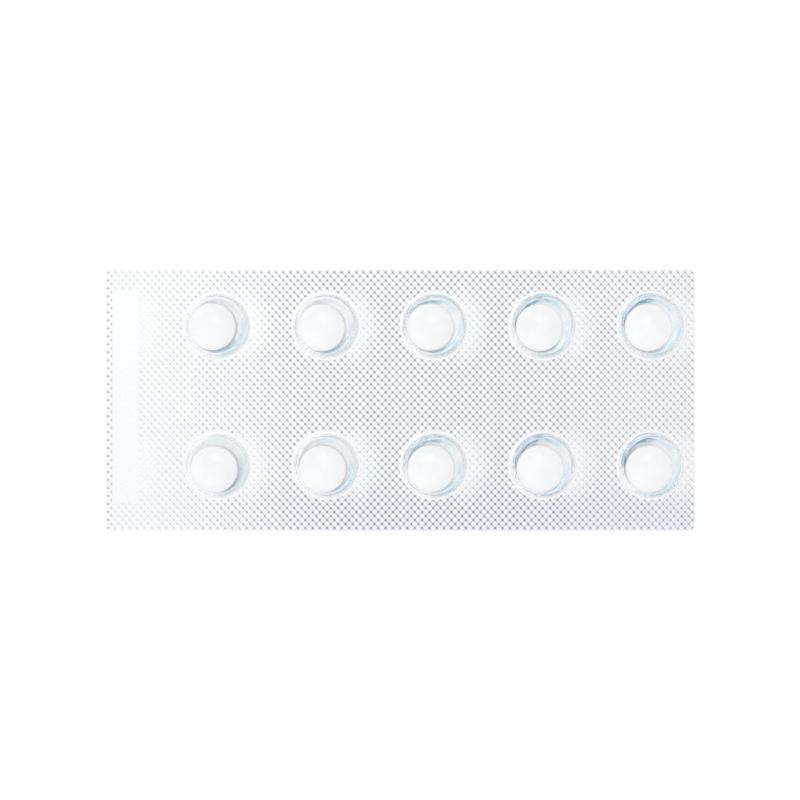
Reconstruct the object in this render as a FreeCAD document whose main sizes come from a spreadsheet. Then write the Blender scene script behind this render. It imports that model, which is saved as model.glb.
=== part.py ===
# Pill blister pack: a clear thermoformed film with a grid of round pockets, a thin lidding foil
# sealed to its underside, and one loose biconvex tablet in each pocket.
# Millimetres, +Z up. The pack lies on its foil with the pockets upwards, its long side is along X,
# and the origin is the middle of the foil's underside.

import FreeCAD, Part
import math
import os
import Sketcher

doc = FreeCAD.newDocument("blister_pack")

# Driving dimensions, in millimetres, degrees and counts. Each is set once, here.
dimensions = (
    # Layout of the pockets on the pack, which sets the pack's own length and width
    ("pocket_columns", 5),
    ("pocket_rows", 2),
    ("column_pitch", 17.5),
    ("row_pitch", 22.5),
    ("first_column_inset", 18.0),
    ("last_column_inset", 7.0),
    ("first_row_inset", 9.0),
    ("last_row_inset", 10.5),
    ("pack_corner_radius", 0.9),
    # Lidding foil and formed film
    ("foil_thickness", 0.03),
    ("film_thickness", 0.25),
    ("seal_depth", 0.05),
    # Plain patch for the batch code, between the first column and the pack's end
    ("code_patch_side_inset", 1.0),
    ("code_patch_width", 4.2),
    ("code_patch_top_inset", 3.2),
    ("code_patch_bottom_inset", 4.3),
    ("code_patch_corner_radius", 1.0),
    # Tablet
    ("tablet_diameter", 7.6),
    ("tablet_thickness", 3.6),
    ("tablet_band_height", 1.9),
    ("tablet_edge_radius", 0.2),
    # Pocket, formed round its tablet
    ("pocket_side_room", 1.25),
    ("pocket_head_room", 0.6),
    ("pocket_wall", 0.18),
    ("pocket_draft", 9.0),
    ("pocket_shoulder_radius", 1.5),
    ("pocket_crown_radius", 13.0),
    ("pocket_foot_radius", 0.25),
    ("pocket_plain_ring", 0.45),
    # How the loose tablets lie: just clear of the foil, and slid over to the pocket's wall
    ("tablet_rest_gap", 0.01),
    ("tablet_wall_gap", 0.07),
)

sheet = doc.addObject("Spreadsheet::Sheet", "Dimensions")
for line, (alias, value) in enumerate(dimensions, start=1):
    sheet.set(f"A{line}", alias)
    sheet.set(f"B{line}", str(value))
    sheet.setAlias(f"B{line}", alias)
doc.recompute()


def value_of(expression):
    """The number that an expression gives from the sheet's values."""
    return float(sheet.evalExpression(expression))


# Expressions that several features share. They name the cells, so that a changed cell moves them all.
pack_length = (
    "(Dimensions.first_column_inset + (Dimensions.pocket_columns - 1) * Dimensions.column_pitch"
    " + Dimensions.last_column_inset)"
)
pack_width = (
    "(Dimensions.first_row_inset + (Dimensions.pocket_rows - 1) * Dimensions.row_pitch"
    " + Dimensions.last_row_inset)"
)
first_column_x = f"(Dimensions.first_column_inset - {pack_length} / 2)"
first_row_y = f"({pack_width} / 2 - Dimensions.first_row_inset)"

# A pocket's inner wall line meets the film's underside at the mouth. The outer wall line lies one
# wall thickness outside it, and meets the film's top face at the foot corner.
draft = "(Dimensions.pocket_draft * 1 deg)"
mouth_radius = "(Dimensions.tablet_diameter / 2 + Dimensions.pocket_side_room)"
foot_corner_radius = (
    f"({mouth_radius} + Dimensions.pocket_wall / cos{draft} - Dimensions.film_thickness * tan{draft})"
)
inner_crown_height = (
    "(Dimensions.tablet_rest_gap + Dimensions.tablet_thickness + Dimensions.pocket_head_room)"
)

# A tablet is widest up to the top of its band, and slides until that comes near the drafted wall.
band_top = (
    "(Dimensions.tablet_rest_gap + (Dimensions.tablet_thickness + Dimensions.tablet_band_height) / 2)"
)
tablet_slide = f"(Dimensions.pocket_side_room - {band_top} * tan{draft} - Dimensions.tablet_wall_gap)"

# A line or arc and its points in the order in which a constraint counts them, and the sketch's axes
point_words = ("edge", "start", "end", "centre")
axis_words = ("vertical_axis", "horizontal_axis")


def new_body(label):
    """An empty body whose label is also the name of its file."""
    body = doc.addObject("PartDesign::Body", label)
    body.Label = label
    return body


def origin_feature(body, role):
    """One of the body's own origin planes or axes."""
    return next(item for item in body.Origin.OriginFeatures if item.Role == role)


def new_sketch(body, name, plane_role):
    """A sketch on one of the body's origin planes."""
    sketch = body.newObject("Sketcher::SketchObject", name)
    sketch.AttachmentSupport = [(origin_feature(body, plane_role), "")]
    sketch.MapMode = "FlatFace"
    return sketch


def add_line(sketch, first, last):
    """A straight line between two points, each given as (x, y)."""
    return sketch.addGeometry(Part.LineSegment(FreeCAD.Vector(*first), FreeCAD.Vector(*last)), False)


def add_arc(sketch, middle, radius, first_angle, last_angle):
    """An arc about a point, counterclockwise, with its angles in degrees."""
    circle = Part.Circle(FreeCAD.Vector(*middle), FreeCAD.Vector(0, 0, 1), radius)
    arc = Part.ArcOfCircle(circle, math.radians(first_angle), math.radians(last_angle))
    return sketch.addGeometry(arc, False)


def constraint_number(place):
    """The number a constraint knows a point or an axis by; a line or a size stays as it is."""
    if place in point_words:
        return point_words.index(place)
    if place in axis_words:
        return axis_words.index(place) - len(axis_words)
    return place


def join(sketch, kind, *places):
    """Adds a constraint, whose places are lines, the words above and, last, a size if it has one."""
    numbers = (constraint_number(place) for place in places)
    return sketch.addConstraint(Sketcher.Constraint(kind, *numbers))


def bind(sketch, name, expression, kind, *places):
    """Adds a constraint whose size is tied to the sheet."""
    size = value_of(expression)
    if kind == "Angle":
        size = math.radians(size)
    index = join(sketch, kind, *places, size)
    sketch.renameConstraint(index, name)
    sketch.setExpression(f"Constraints.{name}", expression)


def add_pad(body, name, sketch, length):
    """Pads a sketch upwards by an expression."""
    pad = body.newObject("PartDesign::Pad", name)
    pad.Profile = sketch
    pad.setExpression("Length", length)
    return pad


def add_full_turn(body, kind, name, sketch):
    """Turns a sketch once round its own vertical axis, to add or to cut."""
    feature = body.newObject(kind, name)
    feature.Profile = sketch
    feature.ReferenceAxis = (sketch, ["V_Axis"])
    feature.Angle = 360.0
    return feature


def draw_rounded_rectangle(sketch, sizes):
    """A rectangle with four equal corner arcs. sizes holds its expressions by name."""
    left, bottom, width, height, radius = (
        value_of(sizes[name]) for name in ("left", "bottom", "width", "height", "corner_radius")
    )
    right, top = left + width, bottom + height
    sides = [
        add_line(sketch, (left + radius, bottom), (right - radius, bottom)),
        add_line(sketch, (right, bottom + radius), (right, top - radius)),
        add_line(sketch, (right - radius, top), (left + radius, top)),
        add_line(sketch, (left, top - radius), (left, bottom + radius)),
    ]
    corners = [
        add_arc(sketch, (right - radius, bottom + radius), radius, -90, 0),
        add_arc(sketch, (right - radius, top - radius), radius, 0, 90),
        add_arc(sketch, (left + radius, top - radius), radius, 90, 180),
        add_arc(sketch, (left + radius, bottom + radius), radius, 180, 270),
    ]
    for index, direction in enumerate(("Horizontal", "Vertical", "Horizontal", "Vertical")):
        join(sketch, direction, sides[index])
        join(sketch, "Tangent", sides[index], "end", corners[index], "start")
        join(sketch, "Tangent", corners[index], "end", sides[(index + 1) % 4], "start")
    for corner in corners[1:]:
        join(sketch, "Equal", corners[0], corner)
    bind(sketch, "corner_radius", sizes["corner_radius"], "Radius", corners[0])
    bind(sketch, "left", sizes["left"], "DistanceX", sides[3], "end")
    bind(sketch, "bottom", sizes["bottom"], "DistanceY", sides[0], "start")
    bind(sketch, "width", sizes["width"], "DistanceX", sides[3], "end", sides[1], "start")
    bind(sketch, "height", sizes["height"], "DistanceY", sides[0], "start", sides[2], "start")


# The die-cut outline, which the foil and the film share
pack_outline = {
    "left": f"-{pack_length} / 2",
    "bottom": f"-{pack_width} / 2",
    "width": pack_length,
    "height": pack_width,
    "corner_radius": "Dimensions.pack_corner_radius",
}

# The plain patch, which the sealing tool's pattern leaves out
code_patch_outline = {
    "left": f"Dimensions.code_patch_side_inset - {pack_length} / 2",
    "bottom": f"Dimensions.code_patch_bottom_inset - {pack_width} / 2",
    "width": "Dimensions.code_patch_width",
    "height": f"{pack_width} - Dimensions.code_patch_top_inset - Dimensions.code_patch_bottom_inset",
    "corner_radius": "Dimensions.code_patch_corner_radius",
}


def make_lidding_foil():
    """The lidding foil: one flat sheet under the whole pack."""
    body = new_body("lidding_foil")
    outline = new_sketch(body, "foil_outline", "XY_Plane")
    draw_rounded_rectangle(outline, pack_outline)
    add_pad(body, "foil_sheet", outline, "Dimensions.foil_thickness")
    return body


def draw_pocket_profile(sketch, outer):
    """Half a section through a pocket, on the outer or the inner side of its wall.

    A crown arc, a shoulder arc, the drafted wall and a foot arc run into each other with no corner.
    The outer side goes on to the plain ring round the foot, and the inner side ends at the mouth.
    The sketch's origin is on the pocket's axis, at the film's underside.
    """
    if outer:
        shell = "Dimensions.pocket_wall"
        wall_radius, wall_base = foot_corner_radius, "Dimensions.film_thickness"
        foot_radius = "Dimensions.pocket_foot_radius"
    else:
        shell = "0"
        wall_radius, wall_base = mouth_radius, "0"
        foot_radius = "(Dimensions.pocket_foot_radius + Dimensions.pocket_wall)"
    crown_height = f"({inner_crown_height} + {shell})"
    crown_radius = f"(Dimensions.pocket_crown_radius + {shell})"
    shoulder_radius = f"(Dimensions.pocket_shoulder_radius + {shell})"

    # Where the lines start out, before the constraints take over. The shoulder's centre lies one
    # shoulder radius inside the wall line, and as far from the crown's centre as tangency asks.
    angle = math.radians(value_of(draft))
    crown, shoulder, foot = (value_of(size) for size in (crown_radius, shoulder_radius, foot_radius))
    up_wall = FreeCAD.Vector(-math.sin(angle), math.cos(angle), 0)
    inwards = FreeCAD.Vector(-math.cos(angle), -math.sin(angle), 0)
    corner = FreeCAD.Vector(value_of(wall_radius), value_of(wall_base), 0)
    crown_centre = FreeCAD.Vector(0, value_of(crown_height) - crown, 0)
    offset = corner + inwards * shoulder - crown_centre
    along = offset.dot(up_wall)
    climb = math.sqrt(along**2 - offset.dot(offset) + (crown - shoulder) ** 2) - along
    shoulder_centre = corner + up_wall * climb + inwards * shoulder
    crown_end = shoulder_centre - crown_centre
    crown_end_angle = math.degrees(math.atan2(crown_end.y, crown_end.x))
    foot_centre = corner + FreeCAD.Vector(foot * (1 - math.sin(angle)) / math.cos(angle), foot, 0)

    axis_line = add_line(sketch, (0, 0), (0, value_of(crown_height)))
    crown_arc = add_arc(sketch, crown_centre, crown, crown_end_angle, 90)
    shoulder_arc = add_arc(sketch, shoulder_centre, shoulder, math.degrees(angle), crown_end_angle)
    wall = add_line(sketch, foot_centre + inwards * foot, shoulder_centre - inwards * shoulder)
    foot_arc = add_arc(sketch, foot_centre, foot, 180 + math.degrees(angle), 270)
    floor = add_line(sketch, (foot_centre.x, 0), (0, 0))
    wall_foot = sketch.addGeometry(Part.Point(corner), True)

    join(sketch, "Coincident", axis_line, "start", "horizontal_axis", "start")
    join(sketch, "Vertical", axis_line)
    join(sketch, "Coincident", axis_line, "end", crown_arc, "end")
    join(sketch, "PointOnObject", crown_arc, "centre", "vertical_axis")
    join(sketch, "Tangent", crown_arc, "start", shoulder_arc, "end")
    join(sketch, "Tangent", shoulder_arc, "start", wall, "end")
    join(sketch, "Tangent", wall, "start", foot_arc, "start")
    join(sketch, "Vertical", foot_arc, "end", foot_arc, "centre")
    join(sketch, "Coincident", floor, "end", axis_line, "start")
    join(sketch, "Horizontal", floor)
    join(sketch, "PointOnObject", wall_foot, "start", wall)
    bind(sketch, "crown_height", crown_height, "DistanceY", axis_line, "start", axis_line, "end")
    bind(sketch, "crown_radius", crown_radius, "Radius", crown_arc)
    bind(sketch, "shoulder_radius", shoulder_radius, "Radius", shoulder_arc)
    bind(sketch, "wall_angle", "(90 + Dimensions.pocket_draft) * 1 deg", "Angle", wall)
    bind(sketch, "wall_radius", wall_radius, "DistanceX", axis_line, "start", wall_foot, "start")
    bind(sketch, "foot_radius", foot_radius, "Radius", foot_arc)
    if not outer:
        join(sketch, "Coincident", foot_arc, "end", floor, "start")
        join(sketch, "PointOnObject", wall_foot, "start", "horizontal_axis")
        return

    ring_radius = f"({foot_corner_radius} + Dimensions.pocket_plain_ring)"
    ring = add_line(sketch, (foot_centre.x, corner.y), (value_of(ring_radius), corner.y))
    ring_edge = add_line(sketch, (value_of(ring_radius), corner.y), (value_of(ring_radius), 0))
    join(sketch, "Coincident", foot_arc, "end", ring, "start")
    join(sketch, "Horizontal", ring)
    join(sketch, "Coincident", ring, "end", ring_edge, "start")
    join(sketch, "Vertical", ring_edge)
    join(sketch, "Coincident", ring_edge, "end", floor, "start")
    join(sketch, "Horizontal", wall_foot, "start", ring, "end")
    bind(sketch, "ring_radius", ring_radius, "DistanceX", floor, "end", floor, "start")
    bind(sketch, "ring_height", wall_base, "DistanceY", ring_edge, "end", ring_edge, "start")


def make_blister_film():
    """The formed film: the sealed web, the plain code patch and the grid of pockets."""
    body = new_body("blister_film")
    web = new_sketch(body, "web_outline", "XY_Plane")
    draw_rounded_rectangle(web, pack_outline)
    web.setExpression("AttachmentOffset.Base.z", "Dimensions.foil_thickness")
    add_pad(body, "sealed_web", web, "Dimensions.film_thickness - Dimensions.seal_depth")

    patch = new_sketch(body, "code_patch_outline", "XY_Plane")
    draw_rounded_rectangle(patch, code_patch_outline)
    patch.setExpression("AttachmentOffset.Base.z", "Dimensions.foil_thickness")
    add_pad(body, "code_patch", patch, "Dimensions.film_thickness")

    # The first pocket, at the left of the top row. The sketch plane's own normal points along -Y.
    pocket = []
    for kind, name, outer in (
        ("PartDesign::Revolution", "pocket_dome", True),
        ("PartDesign::Groove", "pocket_hollow", False),
    ):
        profile = new_sketch(body, f"{name}_profile", "XZ_Plane")
        draw_pocket_profile(profile, outer)
        profile.setExpression("AttachmentOffset.Base.x", first_column_x)
        profile.setExpression("AttachmentOffset.Base.y", "Dimensions.foil_thickness")
        profile.setExpression("AttachmentOffset.Base.z", f"-{first_row_y}")
        doc.recompute()
        pocket.append(add_full_turn(body, kind, name, profile))

    grid = body.newObject("PartDesign::MultiTransform", "pocket_grid")
    grid.Originals = pocket
    steps = []
    for name, axis, pitch, count in (
        ("pocket_row", "X_Axis", "Dimensions.column_pitch", "Dimensions.pocket_columns"),
        ("pocket_column", "Y_Axis", "Dimensions.row_pitch", "Dimensions.pocket_rows"),
    ):
        step = body.newObject("PartDesign::LinearPattern", name)
        step.Direction = (origin_feature(body, axis), [""])
        step.Mode = "Spacing"
        step.setExpression("Offset", pitch)
        step.setExpression("Occurrences", count)
        steps.append(step)
    # Rows go down from the top one
    steps[1].Reversed = True
    grid.Transformations = steps
    body.Tip = grid
    return body


def draw_tablet_profile(sketch):
    """Half a section through a tablet: a straight band between two shallow caps."""
    sizes = {
        "radius": "Dimensions.tablet_diameter / 2",
        "thickness": "Dimensions.tablet_thickness",
        "band": "Dimensions.tablet_band_height",
    }
    radius, thickness, band = (value_of(size) for size in sizes.values())
    cap_height = (thickness - band) / 2
    cap_radius = (radius**2 + cap_height**2) / (2 * cap_height)
    rim_angle = math.degrees(math.asin((cap_radius - cap_height) / cap_radius))

    axis_line = add_line(sketch, (0, 0), (0, thickness))
    top_cap = add_arc(sketch, (0, thickness - cap_radius), cap_radius, rim_angle, 90)
    band_line = add_line(sketch, (radius, cap_height), (radius, cap_height + band))
    bottom_cap = add_arc(sketch, (0, cap_radius), cap_radius, -90, -rim_angle)
    join(sketch, "Coincident", axis_line, "start", "horizontal_axis", "start")
    join(sketch, "Vertical", axis_line)
    join(sketch, "Vertical", band_line)
    join(sketch, "Coincident", axis_line, "end", top_cap, "end")
    join(sketch, "Coincident", top_cap, "start", band_line, "end")
    join(sketch, "Coincident", band_line, "start", bottom_cap, "end")
    join(sketch, "Coincident", bottom_cap, "start", axis_line, "start")
    join(sketch, "PointOnObject", top_cap, "centre", "vertical_axis")
    join(sketch, "PointOnObject", bottom_cap, "centre", "vertical_axis")
    join(sketch, "Equal", top_cap, bottom_cap)
    bind(sketch, "radius", sizes["radius"], "DistanceX", axis_line, "start", band_line, "start")
    bind(sketch, "thickness", sizes["thickness"], "DistanceY", axis_line, "start", axis_line, "end")
    bind(sketch, "band", sizes["band"], "DistanceY", band_line, "start", band_line, "end")


# Which way each tablet has slid in its pocket, in degrees from +X, as the photo shows it: the top row
# from the left, then the bottom row. A bigger grid goes through them again.
slide_directions = (194, 208, 200, 208, 206, 236, 228, 222, 226, 228)


def make_tablet(row, column):
    """The tablet of one pocket. Rows count from the top, and columns from the left."""
    body = new_body(f"tablet_row{row + 1}_column{column + 1}")
    profile = new_sketch(body, "tablet_profile", "XZ_Plane")
    draw_tablet_profile(profile)
    doc.recompute()
    turned = add_full_turn(body, "PartDesign::Revolution", "tablet_form", profile)
    doc.recompute()
    # The two rims where a cap meets the band
    radius = value_of("Dimensions.tablet_diameter / 2")
    rims = [
        f"Edge{number}"
        for number, edge in enumerate(turned.Shape.Edges, start=1)
        if not edge.Degenerated
        and isinstance(edge.Curve, Part.Circle)
        and math.isclose(edge.Curve.Radius, radius, rel_tol=1e-6)
    ]
    rounded = body.newObject("PartDesign::Fillet", "tablet_edges")
    rounded.Base = (turned, rims)
    rounded.setExpression("Radius", "Dimensions.tablet_edge_radius")

    position = row * int(value_of("Dimensions.pocket_columns")) + column
    direction = f"({slide_directions[position % len(slide_directions)]} * 1 deg)"
    place = {
        "x": f"{first_column_x} + {column} * Dimensions.column_pitch + {tablet_slide} * cos{direction}",
        "y": f"{first_row_y} - {row} * Dimensions.row_pitch + {tablet_slide} * sin{direction}",
        "z": "Dimensions.foil_thickness + Dimensions.tablet_rest_gap",
    }
    for axis, expression in place.items():
        body.setExpression(f"Placement.Base.{axis}", expression)
    return body


pieces = [make_lidding_foil(), make_blister_film()]
for row in range(int(value_of("Dimensions.pocket_rows"))):
    for column in range(int(value_of("Dimensions.pocket_columns"))):
        pieces.append(make_tablet(row, column))
doc.recompute()

for item in doc.Objects:
    if "Invalid" in item.State or "Error" in item.State:
        raise RuntimeError(f"{item.Label} failed: {item.State}")
for piece in pieces:
    if piece.Shape.isNull() or not piece.Shape.isValid() or len(piece.Shape.Solids) != 1:
        raise RuntimeError(f"{piece.Label} is not one valid solid")

os.makedirs("parts", exist_ok=True)
for piece in pieces:
    piece.Shape.exportStep(f"parts/{piece.Label}.step")
    box = piece.Shape.optimalBoundingBox()
    print(
        f"{piece.Label}: {box.XLength:.2f} x {box.YLength:.2f} x {box.ZLength:.2f} mm,"
        f" z {box.ZMin:.3f} to {box.ZMax:.3f}, {piece.Shape.Volume:.2f} mm3"
    )
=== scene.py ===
import math

import bmesh
import bpy
from mathutils import Matrix, Vector, noise


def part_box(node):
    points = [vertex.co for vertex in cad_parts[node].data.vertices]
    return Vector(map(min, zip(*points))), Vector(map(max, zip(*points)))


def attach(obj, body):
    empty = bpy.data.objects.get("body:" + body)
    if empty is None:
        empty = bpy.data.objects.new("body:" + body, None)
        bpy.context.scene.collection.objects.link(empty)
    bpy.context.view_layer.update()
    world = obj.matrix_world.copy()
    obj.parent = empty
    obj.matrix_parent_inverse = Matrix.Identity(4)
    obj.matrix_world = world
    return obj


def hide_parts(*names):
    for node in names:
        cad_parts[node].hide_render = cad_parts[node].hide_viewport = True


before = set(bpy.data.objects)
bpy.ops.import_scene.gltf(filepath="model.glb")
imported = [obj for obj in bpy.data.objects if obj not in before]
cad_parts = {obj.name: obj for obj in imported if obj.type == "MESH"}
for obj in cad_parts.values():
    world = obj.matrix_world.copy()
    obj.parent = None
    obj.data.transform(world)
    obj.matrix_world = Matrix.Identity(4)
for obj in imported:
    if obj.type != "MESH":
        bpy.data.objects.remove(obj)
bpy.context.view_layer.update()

mm = 0.001  # the meshes are made in millimetres and scaled down at the end

cameraSettings = {
    "distance": 420.0,       # mm above the floor, straight over the pack
    "frameWidth": 129.14,    # mm that the picture's width takes in at the sealed face
    "sealedFace": 0.27,
    "offCentre": (-0.04, 0.04),
}


def makeCamera():
    data = bpy.data.cameras.new("camera")
    data.sensor_width = 36.0
    away = cameraSettings["distance"] - cameraSettings["sealedFace"]
    data.lens = data.sensor_width * away / cameraSettings["frameWidth"]
    data.clip_start = 0.01
    data.clip_end = 10.0
    camera = bpy.data.objects.new("camera", data)
    x, y = cameraSettings["offCentre"]
    camera.location = (x * mm, y * mm, cameraSettings["distance"] * mm)
    bpy.context.scene.collection.objects.link(camera)
    bpy.context.scene.camera = camera


pack = {
    "length": 95.0,
    "width": 42.0,
    "cornerRadius": 0.9,
    "columns": (-29.5, -12.0, 5.5, 23.0, 40.5),  # pocket centres
    "rows": (12.0, -10.5),
    "segments": 88,          # round a pocket
}
pocketPlaces = [(x, y) for y in pack["rows"] for x in pack["columns"]]


def arcPoints(centre, radius, start, end, steps):
    turns = [math.radians(start + (end - start) * step / steps) for step in range(steps + 1)]
    return [(centre[0] + radius * math.cos(a), centre[1] + radius * math.sin(a)) for a in turns]


def spunSolid(profile, segments):
    # the profile runs from the axis, out and back to the axis, as (radius, height)
    bm = bmesh.new()
    points = [bm.verts.new((radius, 0, height)) for radius, height in profile]
    for first, second in zip(points, points[1:]):
        bm.edges.new((first, second))
    bmesh.ops.spin(
        bm, geom=bm.verts[:] + bm.edges[:], cent=(0, 0, 0), axis=(0, 0, 1), dvec=(0, 0, 0),
        angle=math.tau, steps=segments, use_merge=True, use_duplicate=False,
    )
    bmesh.ops.remove_doubles(bm, verts=bm.verts[:], dist=1e-4)
    bmesh.ops.recalc_face_normals(bm, faces=bm.faces[:])
    return bm


def vertsIn(geometry):
    return [part for part in geometry if isinstance(part, bmesh.types.BMVert)]


def atEachPocket(bm):
    first = bm.verts[:] + bm.edges[:] + bm.faces[:]
    for x, y in pocketPlaces[1:]:
        copy = bmesh.ops.duplicate(bm, geom=first)["geom"]
        bmesh.ops.translate(bm, verts=vertsIn(copy), vec=(x, y, 0))
    bmesh.ops.translate(bm, verts=vertsIn(first), vec=(*pocketPlaces[0], 0))
    return bm


def roundedPlate(box, low, high, radius, segments=6):
    x0, x1, y0, y1 = box
    bm = bmesh.new()
    bmesh.ops.create_cube(bm, size=1)
    bmesh.ops.scale(bm, vec=(x1 - x0, y1 - y0, high - low), verts=bm.verts[:])
    bmesh.ops.translate(bm, vec=((x0 + x1) / 2, (y0 + y1) / 2, (low + high) / 2), verts=bm.verts[:])
    upright = [e for e in bm.edges if abs(e.verts[0].co.z - e.verts[1].co.z) > (high - low) / 2]
    bmesh.ops.bevel(
        bm, geom=upright, offset=radius, segments=segments, profile=0.5, affect="EDGES", material=-1,
    )
    return bm


def asObject(name, bm):
    mesh = bpy.data.meshes.new(name)
    bm.to_mesh(mesh)
    bm.free()
    made = bpy.data.objects.new(name, mesh)
    bpy.context.scene.collection.objects.link(made)
    return made


def combine(piece, tool, operation):
    step = piece.modifiers.new("combine", "BOOLEAN")
    step.object = tool
    step.operation = operation
    step.solver = "MANIFOLD"
    graph = bpy.context.evaluated_depsgraph_get()
    shaped = bpy.data.meshes.new_from_object(piece.evaluated_get(graph))
    piece.modifiers.clear()
    before, piece.data = piece.data, shaped
    toolMesh = tool.data
    bpy.data.objects.remove(tool)
    bpy.data.meshes.remove(toolMesh)
    bpy.data.meshes.remove(before)


def markKnurled(piece):
    # knurled faces carry the diamond pattern, not the plain rings and the blank strip
    x0, x1, y0, y1 = codePatch["box"]
    knurled, underPocket = [], []
    for face in piece.data.polygons:
        x, y, z = face.center
        strip = x0 < x < x1 and y0 < y < y1
        ring = any((x - px) ** 2 + (y - py) ** 2 < ringRadius ** 2 for px, py in pocketPlaces)
        knurled.append(0.0 if strip or ring else 1.0)
        underPocket.append(1.0 if ring and face.normal.z > 0 else 0.0)
    for name, marks in (("knurled", knurled), ("underPocket", underPocket)):
        layer = piece.data.attributes.new(name, "FLOAT", "FACE")
        layer.data.foreach_set("value", marks)


def finishPiece(piece, material, nodes, sharpAngle):
    mesh = piece.data
    mesh.transform(Matrix.Scale(mm, 4))
    mesh.materials.clear()
    mesh.materials.append(material)
    mesh.polygons.foreach_set("use_smooth", [True] * len(mesh.polygons))
    mesh.set_sharp_from_angle(angle=math.radians(sharpAngle))
    mesh.update()
    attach(piece, "root")
    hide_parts(*nodes)
    triangles = sum(len(face.vertices) - 2 for face in mesh.polygons)
    print(f"{piece.name}: {triangles} triangles")


knurl = {
    "width": 1.18,           # of one diamond, mm
    "height": 1.29,
    "lineShare": 0.12,       # half the width of a pressed line, in diamonds
    "pit": 4.3,              # how much deeper two lines press where they cross
    "margin": 0.3,           # of the grid past the pack, cut off again later
    # how strongly each set of lines is pressed: least, where it starts to grow, where it is full
    "falling": (0.35, -45.0, -10.0),
    "rising": (0.15, -40.0, 2.0),
}
codePatch = {"box": (-46.5, -42.3, -16.7, 17.8), "radius": 1.0}
ringRadius = 5.643           # the plain ring round each pocket
throughCut = (-1.0, 1.0)     # heights that a cut through the foil or the web runs between
overlap = 0.02               # of a plain part into the knurled sheet round it


def pressStrength(x, lines):
    least, start, full = knurl[lines]
    share = min(1.0, max(0.0, (x - start) / (full - start)))
    return least + (1 - least) * share * share * (3 - 2 * share)


def relief(x, y):
    # 1 on a diamond, 0 in a pressed line, less where two lines cross
    across, along = x / knurl["width"], y / knurl["height"]
    falling, rising = pressStrength(x, "falling"), pressStrength(x, "rising")
    nearFalling, nearRising = (
        1 - min(1.0, abs(w - round(w)) / knurl["lineShare"]) for w in (across + along, across - along)
    )
    line = max(falling * nearFalling, rising * nearRising)
    return 1 - line - knurl["pit"] * falling * max(0.0, nearFalling + nearRising - 1)


def diamondGrid():
    # three rows of points to a diamond: one along the line's bottom and one at each of its sides
    cells = 2 * int((pack["length"] / knurl["width"] + pack["width"] / knurl["height"]) / 2 + 2)
    bm = bmesh.new()
    bmesh.ops.create_grid(bm, x_segments=3 * cells, y_segments=3 * cells, size=1)
    steps = (0.0, knurl["lineShare"], 1.0 - knurl["lineShare"])

    def place(value):
        cell, part = divmod(round((value + 1) / 2 * 3 * cells), 3)
        return cell - cells / 2 + steps[part]

    for vert in bm.verts:
        u, v = place(vert.co.x), place(vert.co.y)
        vert.co = (knurl["width"] * (u + v) / 2, knurl["height"] * (u - v) / 2, 0)
    for normal, reach in (((1, 0, 0), pack["length"] / 2), ((0, 1, 0), pack["width"] / 2)):
        for side in (1, -1):
            outward = Vector(normal) * side
            bmesh.ops.bisect_plane(
                bm, geom=bm.verts[:] + bm.edges[:] + bm.faces[:], dist=1e-5,
                plane_co=outward * (reach + knurl["margin"]), plane_no=outward, clear_outer=True,
            )
    return bm


def knurledSlab(name, top, bottom):
    # top and bottom are (height in a line, height on a diamond), the bottom plain where they agree
    bm = diamondGrid()
    upper = bm.verts[:]
    if bottom[0] == bottom[1]:
        border = [edge for edge in bm.edges if edge.is_boundary]
        made = bmesh.ops.extrude_edge_only(bm, edges=border)["geom"]
        rim = [part for part in made if isinstance(part, bmesh.types.BMEdge) and part.is_boundary]
        bmesh.ops.holes_fill(bm, edges=rim, sides=0)
    else:
        made = bmesh.ops.extrude_face_region(bm, geom=bm.faces[:])["geom"]
    for verts, (line, diamond) in ((upper, top), (vertsIn(made), bottom)):
        for vert in verts:
            vert.co.z = diamond - (diamond - line) * (1 - relief(vert.co.x, vert.co.y))
    bmesh.ops.recalc_face_normals(bm, faces=bm.faces[:])
    return asObject(name, bm)


def ringPlates(name, low, high, radius):
    # ten round plates, to cut out of a knurled slab
    disc = bmesh.new()
    bmesh.ops.create_cone(
        disc, cap_ends=True, segments=pack["segments"], radius1=radius, radius2=radius, depth=high - low,
    )
    bmesh.ops.translate(disc, verts=disc.verts[:], vec=(0, 0, (low + high) / 2))
    return asObject(name, atEachPocket(disc))


def patchPlate(name, low, high, grow):
    # the blank strip, to cut out of a knurled slab or to put back in it
    x0, x1, y0, y1 = codePatch["box"]
    box = (x0 - grow, x1 + grow, y0 - grow, y1 + grow)
    return asObject(name, roundedPlate(box, low, high, codePatch["radius"] + grow))


def outlinePlate(name, low, high, inset):
    x, y = pack["length"] / 2 - inset, pack["width"] / 2 - inset
    return asObject(name, roundedPlate((-x, x, -y, y), low, high, pack["cornerRadius"] - inset, 8))


def newMaterial(name):
    material = bpy.data.materials.new(name)
    material.use_nodes = True
    nodes, links = material.node_tree.nodes, material.node_tree.links
    return material, nodes, links, nodes["Principled BSDF"]


def addMath(nodes, links, operation, *values):
    node = nodes.new("ShaderNodeMath")
    node.operation = operation
    for socket, value in zip(node.inputs, values):
        if isinstance(value, (int, float)):
            socket.default_value = value
        else:
            links.new(value, socket)
    return node.outputs[0]


def product(nodes, links, first, *others):
    for other in others:
        first = addMath(nodes, links, "MULTIPLY", first, other)
    return first


def mapRange(nodes, links, value, limits, results, kind="SMOOTHSTEP"):
    # takes a value between two limits to one between two results
    step = nodes.new("ShaderNodeMapRange")
    step.interpolation_type = kind
    links.new(value, step.inputs["Value"])
    for name, given in zip(("From Min", "From Max", "To Min", "To Max"), (*limits, *results)):
        if isinstance(given, (int, float)):
            step.inputs[name].default_value = given
        else:
            links.new(given, step.inputs[name])
    return step.outputs["Result"]


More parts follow.
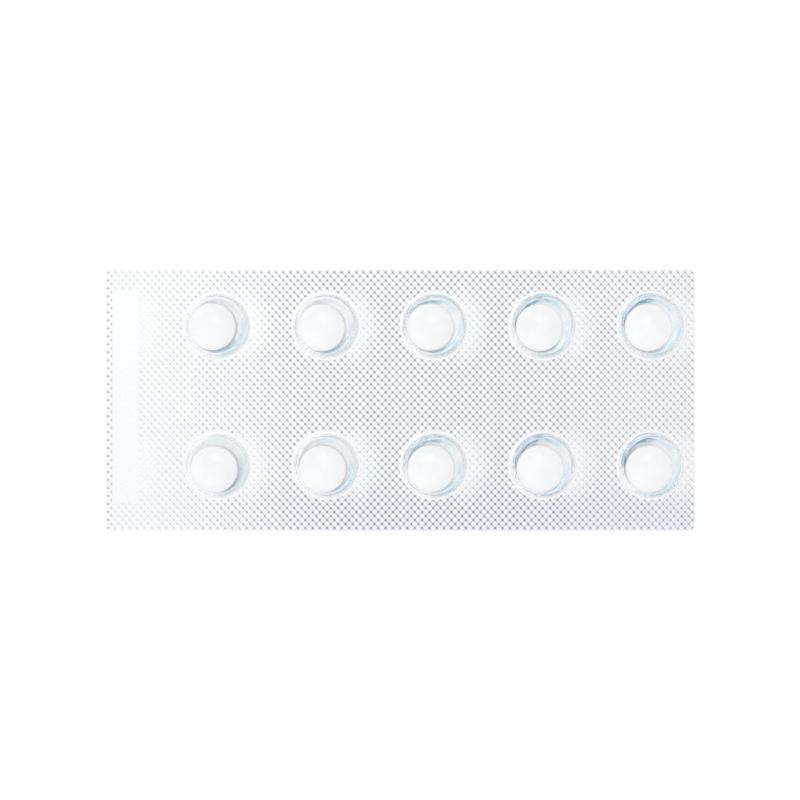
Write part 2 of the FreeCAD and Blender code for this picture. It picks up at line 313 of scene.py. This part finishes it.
def mixColours(nodes, links, factor, first, second):
    node = nodes.new("ShaderNodeMix")
    node.data_type = "RGBA"
    links.new(factor, node.inputs["Factor"])
    for name, given in (("A", first), ("B", second)):
        if isinstance(given, tuple):
            node.inputs[name].default_value = given
        else:
            links.new(given, node.inputs[name])
    return node.outputs["Result"]


def splitPlace(nodes, links, vector):
    split = nodes.new("ShaderNodeSeparateXYZ")
    links.new(vector, split.inputs["Vector"])
    return split.outputs


def faceMark(nodes, name):
    mark = nodes.new("ShaderNodeAttribute")
    mark.attribute_name = name
    return mark.outputs["Fac"]


def makePlaceGroup():
    # where a point lies round the nearest pocket: how far away, and how far right and up for that
    group = bpy.data.node_groups.new("roundPocket", "ShaderNodeTree")
    group.interface.new_socket("Vector", in_out="INPUT", socket_type="NodeSocketVector")
    for name in ("Away", "Right", "Up"):
        group.interface.new_socket(name, in_out="OUTPUT", socket_type="NodeSocketFloat")
    nodes, links = group.nodes, group.links
    given, out = nodes.new("NodeGroupInput"), nodes.new("NodeGroupOutput")
    place = splitPlace(nodes, links, given.outputs["Vector"])
    offsets = []
    for axis, places in (("X", pack["columns"]), ("Y", pack["rows"])):
        half = abs(places[1] - places[0]) * mm / 2
        offset = addMath(nodes, links, "SUBTRACT", place[axis], places[0] * mm)
        offsets.append(addMath(nodes, links, "WRAP", offset, half, -half))
    squares = [addMath(nodes, links, "MULTIPLY", offset, offset) for offset in offsets]
    away = addMath(nodes, links, "SQRT", addMath(nodes, links, "ADD", *squares))
    links.new(addMath(nodes, links, "DIVIDE", away, mm), out.inputs["Away"])
    for offset, name in zip(offsets, ("Right", "Up")):
        links.new(addMath(nodes, links, "DIVIDE", offset, away), out.inputs[name])
    return group


unevenLook = {"slowDetail": 3.0, "fineDetail": 4.0, "fineShare": 0.35, "range": (0.3, 0.7)}


def makeUnevenGroup():
    # slow and fine unevenness of a surface, as a value and as a height
    group = bpy.data.node_groups.new("unevenness", "ShaderNodeTree")
    for name, kind, default in (
        ("Vector", "NodeSocketVector", None), ("Slow Scale", "NodeSocketFloat", 60.0),
        ("Fine Scale", "NodeSocketFloat", 900.0), ("Low", "NodeSocketFloat", 0.2),
        ("High", "NodeSocketFloat", 0.4),
    ):
        socket = group.interface.new_socket(name, in_out="INPUT", socket_type=kind)
        if default is not None:
            socket.default_value = default
    group.interface.new_socket("Value", in_out="OUTPUT", socket_type="NodeSocketFloat")
    group.interface.new_socket("Height", in_out="OUTPUT", socket_type="NodeSocketFloat")
    nodes, links = group.nodes, group.links
    given, out = nodes.new("NodeGroupInput"), nodes.new("NodeGroupOutput")
    slow, fine = nodes.new("ShaderNodeTexNoise"), nodes.new("ShaderNodeTexNoise")
    for texture, scale, detail in ((slow, "Slow Scale", "slowDetail"), (fine, "Fine Scale", "fineDetail")):
        texture.inputs["Detail"].default_value = unevenLook[detail]
        links.new(given.outputs["Vector"], texture.inputs["Vector"])
        links.new(given.outputs[scale], texture.inputs["Scale"])
    blend = nodes.new("ShaderNodeMix")
    blend.data_type = "FLOAT"
    blend.inputs["Factor"].default_value = unevenLook["fineShare"]
    links.new(slow.outputs["Fac"], blend.inputs["A"])
    links.new(fine.outputs["Fac"], blend.inputs["B"])
    results = (given.outputs["Low"], given.outputs["High"])
    value = mapRange(nodes, links, blend.outputs["Result"], unevenLook["range"], results, "LINEAR")
    links.new(value, out.inputs["Value"])
    links.new(blend.outputs["Result"], out.inputs["Height"])
    return group


unevenness = makeUnevenGroup()


def addUnevenness(nodes, links, vector, slow, fine, low, high):
    node = nodes.new("ShaderNodeGroup")
    node.node_tree = unevenness
    for name, value in (("Slow Scale", slow), ("Fine Scale", fine), ("Low", low), ("High", high)):
        node.inputs[name].default_value = value
    links.new(vector, node.inputs["Vector"])
    return node.outputs


def addBump(nodes, links, height, strength, distance, shader, before=None):
    bump = nodes.new("ShaderNodeBump")
    bump.inputs["Strength"].default_value = strength
    bump.inputs["Distance"].default_value = distance
    links.new(height, bump.inputs["Height"])
    if before:
        links.new(before.outputs["Normal"], bump.inputs["Normal"])
    links.new(bump.outputs["Normal"], shader.inputs["Normal"])
    return bump


def makePressGroup():
    # how near a point is to a pressed line, and to a place where two of them cross
    group = bpy.data.node_groups.new("pressedPattern", "ShaderNodeTree")
    for name, kind in (
        ("Vector", "NodeSocketVector"), ("Line Reach", "NodeSocketFloat"), ("Dot Reach", "NodeSocketFloat"),
    ):
        group.interface.new_socket(name, in_out="INPUT", socket_type=kind)
    for name in ("Lines", "Dots", "All Dots"):
        group.interface.new_socket(name, in_out="OUTPUT", socket_type="NodeSocketFloat")
    nodes, links = group.nodes, group.links
    given, out = nodes.new("NodeGroupInput"), nodes.new("NodeGroupOutput")
    place = splitPlace(nodes, links, given.outputs["Vector"])
    across = addMath(nodes, links, "DIVIDE", place["X"], knurl["width"] * mm)
    along = addMath(nodes, links, "DIVIDE", place["Y"], knurl["height"] * mm)
    lines, dots, strengths = [], [], []
    for operation, name in (("ADD", "falling"), ("SUBTRACT", "rising")):
        least, start, full = knurl[name]
        strength = mapRange(nodes, links, place["X"], (start * mm, full * mm), (least, 1.0))
        away = addMath(nodes, links, "PINGPONG", addMath(nodes, links, operation, across, along), 0.5)
        line = mapRange(nodes, links, away, (0.0, given.outputs["Line Reach"]), (1.0, 0.0))
        lines.append(addMath(nodes, links, "MULTIPLY", line, strength))
        dots.append(mapRange(nodes, links, away, (0.0, given.outputs["Dot Reach"]), (1.0, 0.0)))
        strengths.append(strength)
    links.new(addMath(nodes, links, "MAXIMUM", *lines), out.inputs["Lines"])
    dot = addMath(nodes, links, "MULTIPLY", *dots)
    links.new(addMath(nodes, links, "MULTIPLY", dot, strengths[0]), out.inputs["Dots"])
    links.new(dot, out.inputs["All Dots"])
    return group


foilFinish = {
    "dark": (0.793, 0.797, 0.807, 1), "light": (0.843, 0.846, 0.852, 1),
    "unevenScales": (90.0, 2600.0), "roughness": (0.20, 0.32),
    "rollingScale": (120.0, 6000.0, 600.0), "rollingDetail": 3.0,
    "rollingStrength": 0.12, "rollingDistance": 0.00001,
    # the pressed pattern's painted shade: its colour, how far a line and a dot reach in diamonds and how
    # dark they are
    "pressedShade": (0.09, 0.12, 0.24, 1), "lineReach": 0.23, "lineShade": 0.32,
    "dotReach": 0.37, "dotShade": 0.93,
    # a painted sheen: the painted shade fades beside each pocket's right foot: by how much, from and to
    # which radius, from which side
    "sheen": 0.80, "sheenReach": (5.8, 9.4), "sheenSide": (0.35, 0.95),
    # the painted shade also fades towards the right end, and is stronger along the lower edge, with a
    # painted blue reflection there, but not at the left
    "farRight": 0.72, "farRightReach": (15.0, 44.0),
    "below": 0.18, "belowReach": (-11.0, -18.0), "belowStart": (-36.0, -8.0),
    "paintedBlueReflection": (0.62, 0.70, 0.80, 1),
    "edgeDots": 0.75, "edgeReach": (-46.7, -46.4),  # it is strong again outside the blank strip
    # painted reflections and shade in streaks round each tablet: noise scales round and outward, and where
    # they lie
    "dish": (0.60, 0.735, 0.81, 1), "dishDeepReflection": (0.22, 0.38, 0.54, 1),
    "streakScale": (1.6, 2.4), "streakDetail": 4.0, "streakApart": 60.0,
    "streakBegins": (3.3, 3.9), "streakEnds": (4.9, 5.4),
    "rightHalf": (-20.0, 10.0), "leftTop": 0.35, "top": (0.35, 0.9), "lowRight": (0.4, 1.3),
    "upLeft": (0.5, 1.2), "patchy": (0.34, 0.56), "deepPatchy": (0.47, 0.62), "leastPatch": 0.15,
}


def inMetres(limits):
    return tuple(limit * mm for limit in limits)


def patternShade(nodes, links, vector, place, pocket):
    # the painted shade of the pressed pattern at a point, and how much painted blue reflection lies under
    # it
    pattern = nodes.new("ShaderNodeGroup")
    pattern.node_tree = makePressGroup()
    pattern.inputs["Line Reach"].default_value = foilFinish["lineReach"]
    pattern.inputs["Dot Reach"].default_value = foilFinish["dotReach"]
    links.new(vector, pattern.inputs["Vector"])
    lines = addMath(nodes, links, "MULTIPLY", pattern.outputs["Lines"], foilFinish["lineShade"])
    dots = addMath(nodes, links, "MULTIPLY", pattern.outputs["Dots"], foilFinish["dotShade"])
    shade = addMath(nodes, links, "MAXIMUM", lines, dots)
    # painted sheen: the pattern's painted shade fades beside each pocket's right foot
    near = mapRange(nodes, links, pocket["Away"], foilFinish["sheenReach"], (foilFinish["sheen"], 0.0))
    beside = mapRange(nodes, links, pocket["Right"], foilFinish["sheenSide"], (0.0, 1.0))
    faded = addMath(nodes, links, "SUBTRACT", 1.0, addMath(nodes, links, "MULTIPLY", near, beside))
    results = (1.0, foilFinish["farRight"])
    weaker = mapRange(nodes, links, place["X"], inMetres(foilFinish["farRightReach"]), results)
    shade = product(nodes, links, shade, faded, weaker)
    results = (foilFinish["edgeDots"], 0.0)
    edge = mapRange(nodes, links, place["X"], inMetres(foilFinish["edgeReach"]), results)
    edge = addMath(nodes, links, "MULTIPLY", edge, pattern.outputs["All Dots"])
    shade = addMath(nodes, links, "MAXIMUM", shade, edge)
    # stronger painted shade and a painted blue reflection along the lower edge
    results = (0.0, foilFinish["below"])
    below = mapRange(nodes, links, place["Y"], inMetres(foilFinish["belowReach"]), results)
    inward = mapRange(nodes, links, place["X"], inMetres(foilFinish["belowStart"]), (0.0, 1.0))
    below = addMath(nodes, links, "MULTIPLY", below, inward)
    knurled = faceMark(nodes, "knurled")
    stronger = addMath(nodes, links, "ADD", below, 1.0)
    return product(nodes, links, shade, knurled, stronger), product(nodes, links, below, knurled)


def paintedPocketReflections(nodes, links, place, pocket):
    # how much painted pale blue and deep blue reflection the drawn foil round a tablet gets at a point
    scale, outward = foilFinish["streakScale"]
    turned = nodes.new("ShaderNodeCombineXYZ")
    apart = addMath(nodes, links, "MULTIPLY", place["X"], foilFinish["streakApart"])
    right = addMath(nodes, links, "MULTIPLY", pocket["Right"], scale)
    links.new(addMath(nodes, links, "ADD", right, apart), turned.inputs["X"])
    links.new(addMath(nodes, links, "MULTIPLY", pocket["Up"], scale), turned.inputs["Y"])
    links.new(addMath(nodes, links, "MULTIPLY", pocket["Away"], outward), turned.inputs["Z"])
    streaks = nodes.new("ShaderNodeTexNoise")
    streaks.inputs["Scale"].default_value = 1.0
    streaks.inputs["Detail"].default_value = foilFinish["streakDetail"]
    links.new(turned.outputs["Vector"], streaks.inputs["Vector"])

    begins = mapRange(nodes, links, pocket["Away"], foilFinish["streakBegins"], (0.0, 1.0))
    ends = mapRange(nodes, links, pocket["Away"], foilFinish["streakEnds"], (1.0, 0.0))
    band = product(nodes, links, begins, ends, faceMark(nodes, "underPocket"))
    rightHalf = mapRange(nodes, links, place["X"], inMetres(foilFinish["rightHalf"]), (0.0, 1.0))
    top = mapRange(nodes, links, pocket["Up"], foilFinish["top"], (0.0, 1.0))
    share = addMath(nodes, links, "MAXIMUM", rightHalf, foilFinish["leftTop"])
    top = addMath(nodes, links, "MULTIPLY", top, share)
    leaning = addMath(nodes, links, "SUBTRACT", pocket["Right"], pocket["Up"])
    lowRight = mapRange(nodes, links, leaning, foilFinish["lowRight"], (0.0, 1.0))
    where = addMath(nodes, links, "MAXIMUM", top, lowRight)
    results = (foilFinish["leastPatch"], 1.0)
    patchy = mapRange(nodes, links, streaks.outputs["Fac"], foilFinish["patchy"], results)
    leaning = addMath(nodes, links, "SUBTRACT", pocket["Up"], pocket["Right"])
    upLeft = mapRange(nodes, links, leaning, foilFinish["upLeft"], (0.0, 1.0))
    deep = mapRange(nodes, links, streaks.outputs["Fac"], foilFinish["deepPatchy"], (0.0, 1.0))
    return (
        product(nodes, links, where, band, patchy),
        product(nodes, links, deep, rightHalf, upLeft, band),
    )


def makeFoilMaterial():
    material, nodes, links, shader = newMaterial("rolledAluminium")
    vector = nodes.new("ShaderNodeTexCoord").outputs["Object"]
    uneven = addUnevenness(nodes, links, vector, *foilFinish["unevenScales"], *foilFinish["roughness"])
    metal = mixColours(nodes, links, uneven["Height"], foilFinish["dark"], foilFinish["light"])
    place = splitPlace(nodes, links, vector)
    pocket = nodes.new("ShaderNodeGroup")
    pocket.node_tree = makePlaceGroup()
    links.new(vector, pocket.inputs["Vector"])
    shade, below = patternShade(nodes, links, vector, place, pocket.outputs)
    # painted blue reflection along the lower edge
    metal = mixColours(nodes, links, below, metal, foilFinish["paintedBlueReflection"])
    # painted shade in the pressed lines and dots
    metal = mixColours(nodes, links, shade, metal, foilFinish["pressedShade"])
    # painted reflections round each tablet
    pale, deep = paintedPocketReflections(nodes, links, place, pocket.outputs)
    metal = mixColours(nodes, links, pale, metal, foilFinish["dish"])
    metal = mixColours(nodes, links, deep, metal, foilFinish["dishDeepReflection"])
    links.new(metal, shader.inputs["Base Color"])
    links.new(uneven["Value"], shader.inputs["Roughness"])
    shader.inputs["Metallic"].default_value = 1.0

    # the mill's rolling lines run along the strip
    stretch = nodes.new("ShaderNodeMapping")
    stretch.inputs["Scale"].default_value = foilFinish["rollingScale"]
    links.new(vector, stretch.inputs["Vector"])
    rolling = nodes.new("ShaderNodeTexNoise")
    rolling.inputs["Scale"].default_value = 1.0
    rolling.inputs["Detail"].default_value = foilFinish["rollingDetail"]
    links.new(stretch.outputs["Vector"], rolling.inputs["Vector"])
    addBump(
        nodes, links, rolling.outputs["Fac"], foilFinish["rollingStrength"],
        foilFinish["rollingDistance"], shader,
    )
    return material


filmFinish = {
    "tint": (0.985, 0.99, 0.992, 1), "paleTint": (0.996, 0.996, 0.996, 1),
    "unevenScales": (160.0, 1500.0), "roughness": (0.02, 0.06),
    "refraction": 1.15,      # a thin wall hardly bends what shows through
    "gloss": 0.6, "glossRoughness": 0.03,
    "waveScale": 420.0, "waveDetail": 1.5, "waveStrength": 0.25, "waveDistance": 0.00006,
    "passing": (0.98, 0.98, 0.98, 1),
}


def makeFilmMaterial():
    material, nodes, links, shader = newMaterial("clearFilm")
    vector = nodes.new("ShaderNodeTexCoord").outputs["Object"]
    uneven = addUnevenness(nodes, links, vector, *filmFinish["unevenScales"], *filmFinish["roughness"])
    colour = mixColours(nodes, links, uneven["Height"], filmFinish["tint"], filmFinish["paleTint"])
    links.new(colour, shader.inputs["Base Color"])
    links.new(uneven["Value"], shader.inputs["Roughness"])
    for name, value in (
        ("IOR", filmFinish["refraction"]), ("Transmission Weight", 1.0),
        ("Coat Weight", filmFinish["gloss"]), ("Coat Roughness", filmFinish["glossRoughness"]),
    ):
        shader.inputs[name].default_value = value
    waves = nodes.new("ShaderNodeTexNoise")
    waves.inputs["Scale"].default_value = filmFinish["waveScale"]
    waves.inputs["Detail"].default_value = filmFinish["waveDetail"]
    links.new(vector, waves.inputs["Vector"])
    addBump(
        nodes, links, waves.outputs["Fac"], filmFinish["waveStrength"],
        filmFinish["waveDistance"], shader,
    )
    # light that a tablet, the floor or the foil sends up goes straight through the thin film
    clear = nodes.new("ShaderNodeBsdfTransparent")
    clear.inputs["Color"].default_value = filmFinish["passing"]
    either = nodes.new("ShaderNodeMixShader")
    links.new(nodes.new("ShaderNodeLightPath").outputs["Is Reflection Ray"], either.inputs["Fac"])
    links.new(shader.outputs["BSDF"], either.inputs[1])
    links.new(clear.outputs["BSDF"], either.inputs[2])
    links.new(either.outputs["Shader"], nodes["Material Output"].inputs["Surface"])
    return material


tabletFinish = {
    "dark": (0.86, 0.853, 0.842, 1), "light": (0.923, 0.915, 0.905, 1), "spread": (0.25, 0.6),
    "unevenScales": (420.0, 5200.0), "roughness": (0.5, 0.72), "shine": 0.35,
    "grainStrength": 0.5, "grainDistance": 0.00003,
    "poreScale": 2600.0, "poreSize": (0.0, 0.25), "poreStrength": 0.25, "poreDistance": 0.00002,
}


def makeTabletMaterial():
    material, nodes, links, shader = newMaterial("pressedPowder")
    vector = nodes.new("ShaderNodeTexCoord").outputs["Object"]
    scales, roughness = tabletFinish["unevenScales"], tabletFinish["roughness"]
    uneven = addUnevenness(nodes, links, vector, *scales, *roughness)
    spread = mapRange(nodes, links, uneven["Height"], tabletFinish["spread"], (0.0, 1.0), "LINEAR")
    colour = mixColours(nodes, links, spread, tabletFinish["dark"], tabletFinish["light"])
    links.new(colour, shader.inputs["Base Color"])
    links.new(uneven["Value"], shader.inputs["Roughness"])
    shader.inputs["Specular IOR Level"].default_value = tabletFinish["shine"]
    grain = addBump(
        nodes, links, uneven["Height"], tabletFinish["grainStrength"],
        tabletFinish["grainDistance"], shader,
    )
    pores = nodes.new("ShaderNodeTexVoronoi")
    pores.inputs["Scale"].default_value = tabletFinish["poreScale"]
    links.new(vector, pores.inputs["Vector"])
    pit = mapRange(nodes, links, pores.outputs["Distance"], tabletFinish["poreSize"], (0.0, 1.0), "LINEAR")
    addBump(
        nodes, links, pit, tabletFinish["poreStrength"], tabletFinish["poreDistance"], shader, before=grain,
    )
    return material


foil = {
    "top": (0.115, 0.13),    # height in a pressed line and on a diamond
    "bottom": (0.017, 0.02),
    "plain": (0.004, 0.033),
    # the foil is drawn up a little along the foot of each pocket, as (radius, height)
    "dish": (
        (0.0, 0.033), (2.2, 0.033), (3.4, 0.036), (3.8, 0.045), (4.1, 0.07), (4.4, 0.115), (4.6, 0.13),
        (4.8, 0.12), (5.05, 0.07), (5.3, 0.05),
    ),
    "dishEdge": 0.05,        # its height at the plain ring's edge
    "wrinkle": 0.028,
    "wrinkleSize": 1.1,
    "wrinkleStart": (3.0, 1.2),  # from which radius, and the width over which it grows
    "wrinkleEnd": 0.6,       # the width over which it dies out at the ring's edge
    "sharpAngle": 12.0,
}


def pocketDishes(name, radius):
    low = foil["plain"][0]
    start, grows = foil["wrinkleStart"]
    profile = list(foil["dish"]) + [(radius, foil["dishEdge"]), (radius, low), (0.0, low)]
    bm = atEachPocket(spunSolid(profile, pack["segments"]))
    for vert in bm.verts:
        if vert.co.z > low + 0.01:  # all but the flat underside
            x, y = min(pocketPlaces, key=lambda p: (vert.co.x - p[0]) ** 2 + (vert.co.y - p[1]) ** 2)
            away = math.hypot(vert.co.x - x, vert.co.y - y)
            share = max(0.0, min(1.0, (away - start) / grows, (radius - away) / foil["wrinkleEnd"]))
            vert.co.z += foil["wrinkle"] * share * noise.noise(vert.co / foil["wrinkleSize"])
    return asObject(name, bm)


def makeFoil(material):
    sheet = knurledSlab("embossedFoil", foil["top"], foil["bottom"])
    combine(sheet, outlinePlate("outline", *throughCut, 0.0), "INTERSECT")
    combine(sheet, ringPlates("rings", *throughCut, ringRadius), "DIFFERENCE")
    combine(sheet, patchPlate("strip", *throughCut, 0.0), "DIFFERENCE")
    combine(sheet, pocketDishes("dishes", ringRadius + overlap), "UNION")
    combine(sheet, patchPlate("stripPlate", *foil["plain"], overlap), "UNION")
    markKnurled(sheet)
    finishPiece(sheet, material, ["lidding_foil"], foil["sharpAngle"])
    return sheet


film = {
    "top": (0.238, 0.272),
    "underside": 0.025,      # inside the foil's own thickness
    "stripLift": 0.002,      # the plain parts end a little higher, so that no two flats coincide
    "ringLift": 0.003,
    "hollowFoot": -0.5,      # where the hollows' cut starts, under the film
    "outlineInset": 0.01,
    "plainTop": 0.28,
    "wall": 0.18,
    "thinned": 0.05,         # how much thinner the drawing leaves the pocket
    "draft": 9.0,
    "mouthRadius": 5.05,     # inner wall line where it meets the foil
    "mouthHeight": 0.03,
    "crownInside": 4.24,
    "crownRadius": 13.0,
    "shoulderRadius": 1.5,
    "footRadius": 0.25,
    "steps": (9, 7, 5),      # along the shoulder, the crown and the foot
    "sharpAngle": 28.0,
}


def pocketProfile(shell):
    # crown, shoulder and wall of the pocket's inner side, or of its outer side one shell further out
    draft = math.radians(film["draft"])
    sine, cosine = math.sin(draft), math.cos(draft)
    crown, shoulder = film["crownRadius"], film["shoulderRadius"]
    crownBase = film["crownInside"] - crown
    wallLine = film["mouthRadius"] * cosine + film["mouthHeight"] * sine - shoulder
    short = wallLine - crownBase * sine
    rise = short * sine + cosine * math.sqrt((crown - shoulder) ** 2 - short * short)
    centre = ((short - rise * sine) / cosine, crownBase + rise)
    turn = math.degrees(math.atan2(rise, centre[0]))
    curve = arcPoints(centre, shoulder + shell, film["draft"], turn, film["steps"][0])
    curve += arcPoints((0, crownBase), crown + shell, turn, 90, film["steps"][1])[1:]
    curve[-1] = (0.0, curve[-1][1])
    return curve


def wallRadius(height, shell):
    # where the wall line stands at a height
    draft = math.radians(film["draft"])
    return film["mouthRadius"] + shell / math.cos(draft) - (height - film["mouthHeight"]) * math.tan(draft)


def footArc(level, shell, radius):
    # the rounded corner between the flat at a level and the wall
    draft = math.radians(film["draft"])
    centre = (wallRadius(level, shell) + radius * (1 - math.sin(draft)) / math.cos(draft), level + radius)
    return arcPoints(centre, radius, 270, 180 + film["draft"], film["steps"][2])


def makeFilm(material):
    sheet = knurledSlab("clearFilm", film["top"], (film["underside"],) * 2)
    combine(sheet, outlinePlate("outline", *throughCut, film["outlineInset"]), "INTERSECT")
    combine(sheet, ringPlates("rings", *throughCut, ringRadius), "DIFFERENCE")
    combine(sheet, patchPlate("strip", *throughCut, 0.0), "DIFFERENCE")
    low = film["underside"] + film["stripLift"]
    combine(sheet, patchPlate("stripPlate", low, film["plainTop"], overlap), "UNION")
    low = film["underside"] + film["ringLift"]
    foot = footArc(film["plainTop"], film["wall"], film["footRadius"])
    outer = [(0, low), (ringRadius + overlap, low), (ringRadius + overlap, film["plainTop"])]
    outer += foot + pocketProfile(film["wall"])
    combine(sheet, asObject("pockets", atEachPocket(spunSolid(outer, pack["segments"]))), "UNION")
    mouth = footArc(film["mouthHeight"], film["thinned"], film["footRadius"] + film["wall"])
    inner = [(0, film["hollowFoot"]), (mouth[0][0], film["hollowFoot"])]
    inner += mouth + pocketProfile(film["thinned"])
    combine(sheet, asObject("hollows", atEachPocket(spunSolid(inner, pack["segments"]))), "DIFFERENCE")
    finishPiece(sheet, material, ["blister_film"], film["sharpAngle"])
    return sheet


tablet = {
    "bandHeight": 1.9,
    "capRadius": 8.92,
    "edgeRadius": 0.2,
    "capRings": 9,
    "edgeSegments": 4,
    "segments": 72,
    "sharpAngle": 60.0,
}


def makeTablet(node, material):
    low, high = (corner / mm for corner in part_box(node))
    centre, radius = (low + high) / 2, (high.x - low.x) / 2
    drop = math.sqrt(tablet["capRadius"] ** 2 - radius ** 2)
    cap = []
    for ring in range(tablet["capRings"] + 1):
        r = radius * ring / tablet["capRings"]
        cap.append((r, tablet["bandHeight"] / 2 + math.sqrt(tablet["capRadius"] ** 2 - r * r) - drop))
    bm = spunSolid([(r, -z) for r, z in cap] + cap[::-1], tablet["segments"])
    corner = [
        edge for edge in bm.edges
        if all(abs(v.co.xy.length - radius) < 1e-3 for v in edge.verts)
        and abs(edge.verts[0].co.z - edge.verts[1].co.z) < 1e-3
    ]
    bmesh.ops.bevel(
        bm, geom=corner, offset=tablet["edgeRadius"], segments=tablet["edgeSegments"], profile=0.5,
        affect="EDGES", material=-1,
    )
    bmesh.ops.recalc_face_normals(bm, faces=bm.faces[:])
    bmesh.ops.translate(bm, verts=bm.verts[:], vec=centre)
    piece = asObject(node.replace("tablet_", "pressed_tablet_"), bm)
    finishPiece(piece, material, [node], tablet["sharpAngle"])
    return piece


studio = {
    "floorSize": 3.0,
    "floorLevel": -0.00002,
    "floorColour": (0.5, 0.5, 0.5, 1),
    "floorRoughness": 0.9,
    "floorGlow": 0.505,       # what the camera, metal and glass see on top of the lit floor
    # the surroundings by height, from the horizon to straight overhead
    "sky": (
        (0.00, (0.92, 0.92, 0.92)), (0.25, (0.94, 0.94, 0.94)), (0.45, (0.95, 0.95, 0.95)),
        (0.62, (0.96, 0.96, 0.97)), (0.80, (0.99, 0.99, 1.00)), (0.92, (1.03, 1.03, 1.03)),
        (0.985, (1.06, 1.06, 1.06)), (0.995, (1.17, 1.17, 1.17)),
    ),
    # soft lamps: towards them, the cosines where each ends and is full, what it adds
    "lamps": (
        ((-0.55, 0.50, 0.67), 0.93, 0.96, 0.7),
        ((0.70, -0.25, 0.67), 0.95, 0.98, 0.5),
        ((-0.45, -0.50, 0.74), 0.82, 0.97, 0.35),
        ((-0.07, 0.18, 0.98), 0.992, 0.999, 0.9),  # the soft spot on each tablet
    ),
    "blue": (0.74, 0.84, 0.93, 1),  # two darker walls, above and below in the picture
    "blueRange": (0.15, 0.60),
    "blueNarrow": 0.8,
    "blueFoot": (0.1, 0.35),  # the walls stop short of the floor
    "sideLean": 0.08,        # brighter on the left
}


def makeWorld():
    world = bpy.data.worlds.new("studio")
    world.use_nodes = True
    nodes, links = world.node_tree.nodes, world.node_tree.links
    background = nodes["Background"]
    around = nodes.new("ShaderNodeTexCoord").outputs["Generated"]
    direction = splitPlace(nodes, links, around)
    ramp = nodes.new("ShaderNodeValToRGB")
    ramp.color_ramp.interpolation = "EASE"
    stops = ramp.color_ramp.elements
    while len(stops) < len(studio["sky"]):
        stops.new(0.5)
    for stop, (height, colour) in zip(stops, studio["sky"]):
        stop.position = height
        stop.color = (*colour, 1)
    links.new(direction["Z"], ramp.inputs["Fac"])
    ahead = addMath(nodes, links, "MULTIPLY", direction["Y"], direction["Y"])
    beside = product(nodes, links, direction["X"], direction["X"], studio["blueNarrow"])
    ahead = addMath(nodes, links, "SUBTRACT", ahead, beside)
    wall = mapRange(nodes, links, ahead, studio["blueRange"], (0.0, 1.0))
    rising = mapRange(nodes, links, direction["Z"], studio["blueFoot"], (0.0, 1.0), "LINEAR")
    wall = addMath(nodes, links, "MULTIPLY", wall, rising)
    painted = mixColours(nodes, links, wall, ramp.outputs["Color"], studio["blue"])
    seen = nodes.new("ShaderNodeLightPath").outputs["Is Camera Ray"]
    links.new(mixColours(nodes, links, seen, painted, (1, 1, 1, 1)), background.inputs["Color"])
    strength = addMath(nodes, links, "MULTIPLY", direction["X"], -studio["sideLean"])
    strength = addMath(nodes, links, "ADD", strength, 1.0)
    for towards, end, full, adds in studio["lamps"]:
        facing = nodes.new("ShaderNodeVectorMath")
        facing.operation = "DOT_PRODUCT"
        links.new(around, facing.inputs[0])
        facing.inputs[1].default_value = Vector(towards).normalized()
        lamp = mapRange(nodes, links, facing.outputs["Value"], (end, full), (0.0, adds))
        strength = addMath(nodes, links, "ADD", strength, lamp)
    links.new(strength, background.inputs["Strength"])
    world.cycles.sampling_method = "NONE"  # soft enough to be met by chance alone
    bpy.context.scene.world = world


def makeFloor():
    bm = bmesh.new()
    bmesh.ops.create_grid(bm, x_segments=1, y_segments=1, size=studio["floorSize"] / 2)
    bmesh.ops.translate(bm, verts=bm.verts[:], vec=(0, 0, studio["floorLevel"]))
    floor = asObject("paleFloor", bm)
    material, nodes, links, shader = newMaterial("paleFloor")
    shader.inputs["Base Color"].default_value = studio["floorColour"]
    shader.inputs["Roughness"].default_value = studio["floorRoughness"]
    shader.inputs["Specular IOR Level"].default_value = 0.0
    shader.inputs["Emission Color"].default_value = (1, 1, 1, 1)
    light = nodes.new("ShaderNodeLightPath")
    seen = light.outputs["Is Camera Ray"]
    for kind in ("Is Glossy Ray", "Is Transmission Ray"):
        seen = addMath(nodes, links, "MAXIMUM", seen, light.outputs[kind])
    glow = addMath(nodes, links, "MULTIPLY", seen, studio["floorGlow"])
    links.new(glow, shader.inputs["Emission Strength"])
    floor.data.materials.append(material)


makeCamera()
makeWorld()
makeFloor()
bpy.context.scene.view_settings.view_transform = "Standard"
print("camera, light and floor made")

makeFoil(makeFoilMaterial())
print("foil made")
makeFilm(makeFilmMaterial())
print("film made")
powder = makeTabletMaterial()
for node in sorted(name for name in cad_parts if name.startswith("tablet_")):
    makeTablet(node, powder)
print("tablets made")
